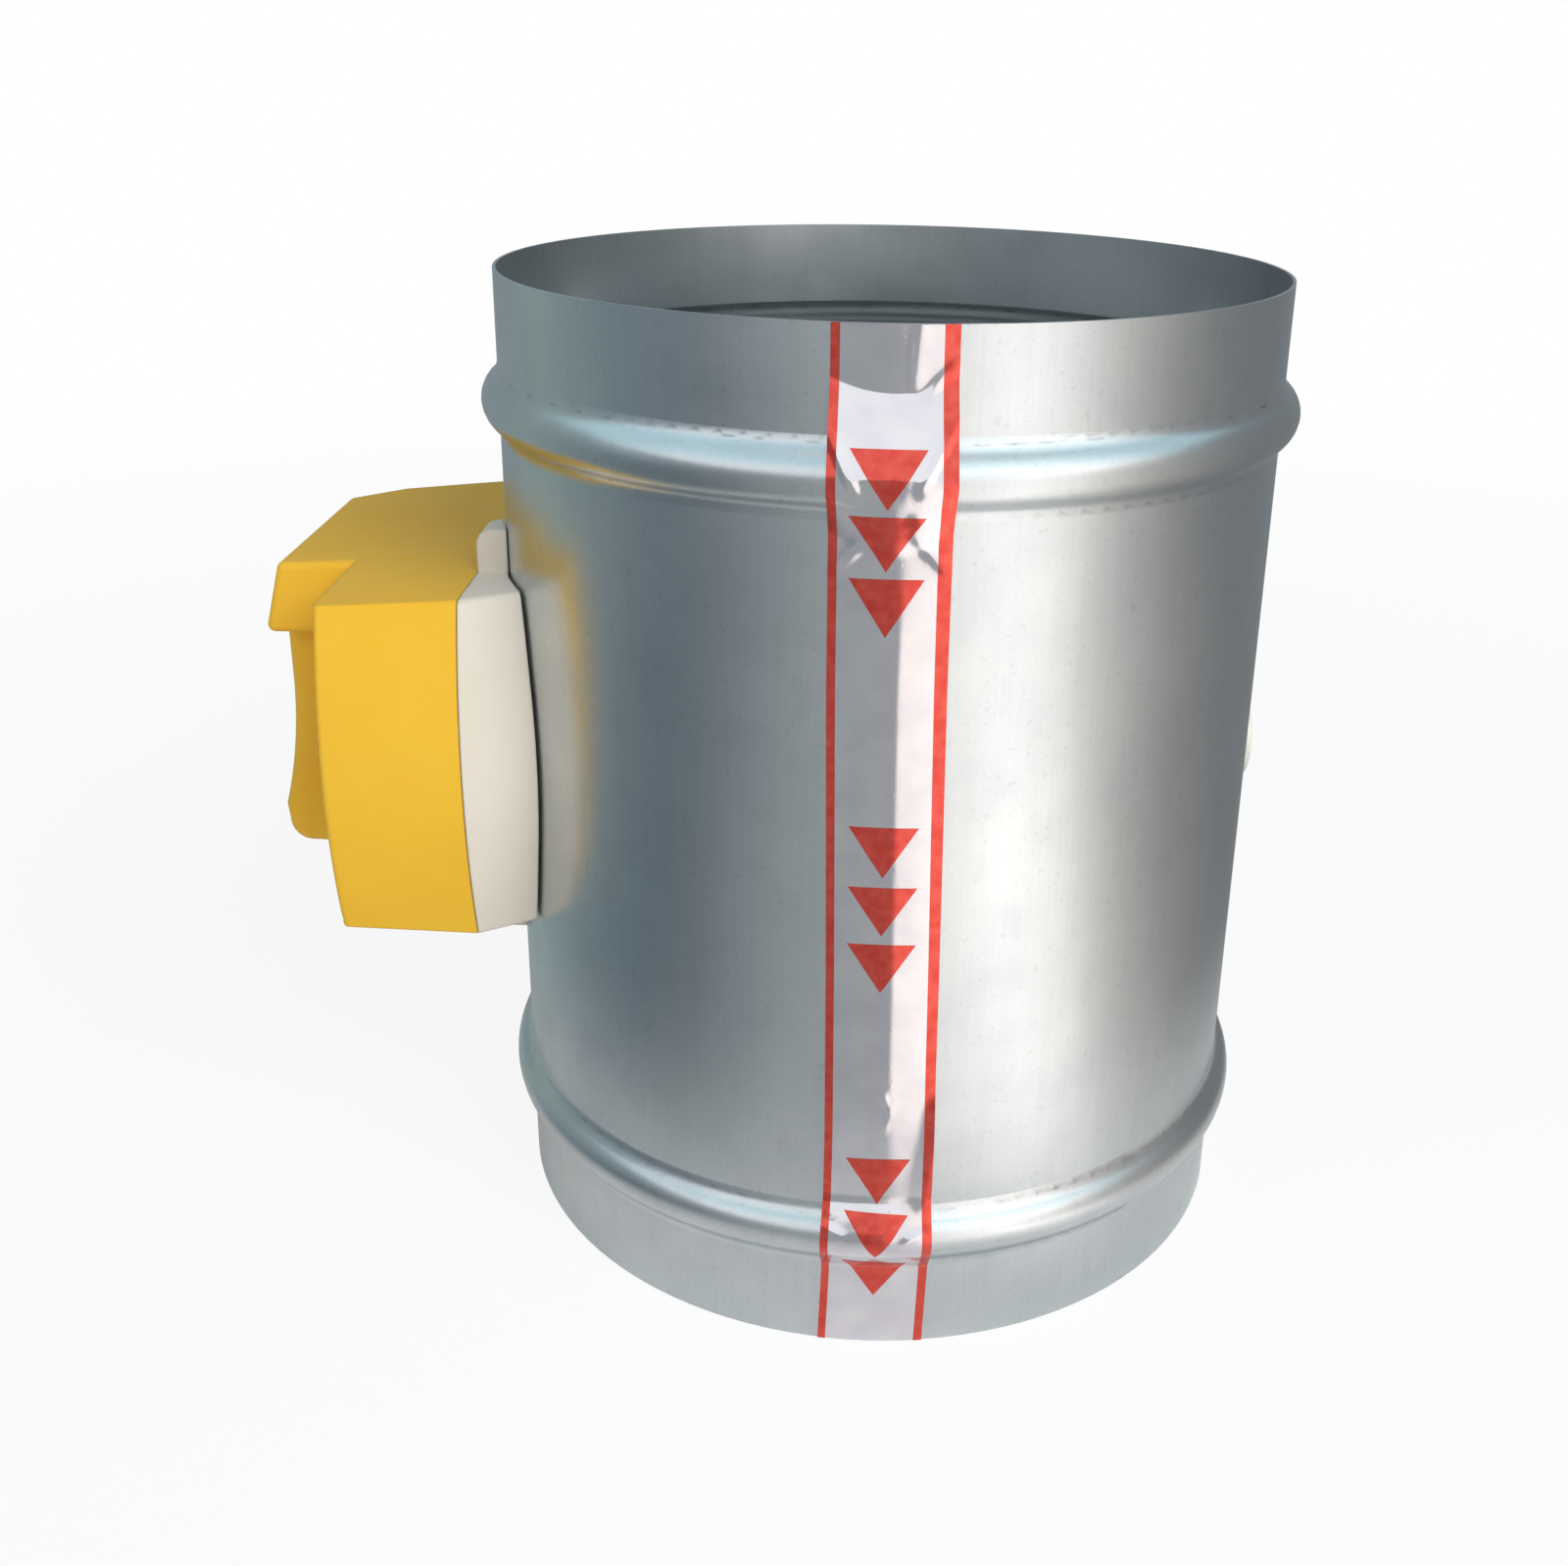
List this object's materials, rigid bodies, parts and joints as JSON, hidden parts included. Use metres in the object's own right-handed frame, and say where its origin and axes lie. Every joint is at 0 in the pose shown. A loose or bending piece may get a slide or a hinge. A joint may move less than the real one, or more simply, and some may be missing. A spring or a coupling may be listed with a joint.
{
  "type": "motorized air damper",
  "caption": "Round duct damper: a beaded tube with a sealed butterfly blade on a cross shaft, turned by a geared actuator in a stepped moulded housing on its side.",
  "frame": {"origin": "centre of the lower rim, on the duct's axis", "axes": "+Z along the duct to the upper rim, -X towards the actuator, -Y towards the printed tape, and the blade's shaft along X"},
  "size_m": [0.2696, 0.2069, 0.251],
  "materials": {
    "galvanised_steel": "spangled zinc coating",
    "foil_tape": "matt foil",
    "red_print": "printed ink",
    "bush_plastic": "moulded",
    "edge_rubber": "extruded",
    "zinc_steel": "bright zinc plated",
    "base_plastic": "fine moulded texture",
    "cover_plastic": "satin moulded",
    "gear_plastic": "moulded",
    "gear_brass": "machined",
    "dark_plastic": "moulded",
    "board_laminate": "solder resist",
    "relay_blue": "moulded",
    "capacitor_sleeve": "shrunk sleeve",
    "terminal_green": "moulded",
    "can_steel": "drawn",
    "gland_grey": "moulded"
  },
  "bodies": {
    "duct": {"duct_tube": "galvanised_steel", "flow_tape": "foil_tape", "tape_edge_stripes": "red_print", "tape_arrows": "red_print", "drive_side_bush": "bush_plastic", "idle_side_bush": "bush_plastic", "gear_axle": "zinc_steel", "actuator_base": "base_plastic", "actuator_cover": "cover_plastic", "base_fixing_screws": "zinc_steel", "cover_screws": "zinc_steel", "gear_plate": "zinc_steel", "plate_screws": "zinc_steel", "motor_gearbox": "can_steel", "motor_can": "can_steel", "motor_screws": "zinc_steel", "opening_switch": "dark_plastic", "closing_switch": "dark_plastic", "control_board": "board_laminate", "board_screws": "zinc_steel", "relay": "relay_blue", "capacitor": "capacitor_sleeve", "terminal_block": "terminal_green", "gland_body": "gland_grey", "gland_cap": "gland_grey", "gland_nut": "gland_grey", "gland_seal": "edge_rubber"},
    "blade": {"blade_disc_front": "galvanised_steel", "blade_disc_back": "galvanised_steel", "blade_seal": "edge_rubber", "rim_rivets": "zinc_steel", "shaft_rivets": "zinc_steel", "drive_shaft": "zinc_steel", "output_gear": "gear_plastic", "limit_cam": "gear_plastic", "shaft_clip": "zinc_steel"},
    "idler": {"compound_gear": "gear_plastic"},
    "pinion": {"motor_pinion": "gear_brass"}
  },
  "joints": [
    {"name": "blade_turn", "type": "hinge", "parent": "duct", "child": "blade", "pos_m": [0, 0, 0.1255], "axis": [1, 0, 0], "range_deg": [0, 90]},
    {"name": "idler_turn", "type": "hinge", "parent": "duct", "child": "idler", "pos_m": [-0.11, 0.0234, 0.15166], "axis": [1, 0, 0], "range_deg": [-262, 4]},
    {"name": "pinion_turn", "type": "hinge", "parent": "duct", "child": "pinion", "pos_m": [-0.115, 0.038, 0.131], "axis": [1, 0, 0], "range_deg": [-8, 655]}
  ],
  "couplings": [
    {"joint": "idler_turn", "follows": "blade_turn", "ratio": -2.8889},
    {"joint": "pinion_turn", "follows": "blade_turn", "ratio": 7.2222}
  ]
}
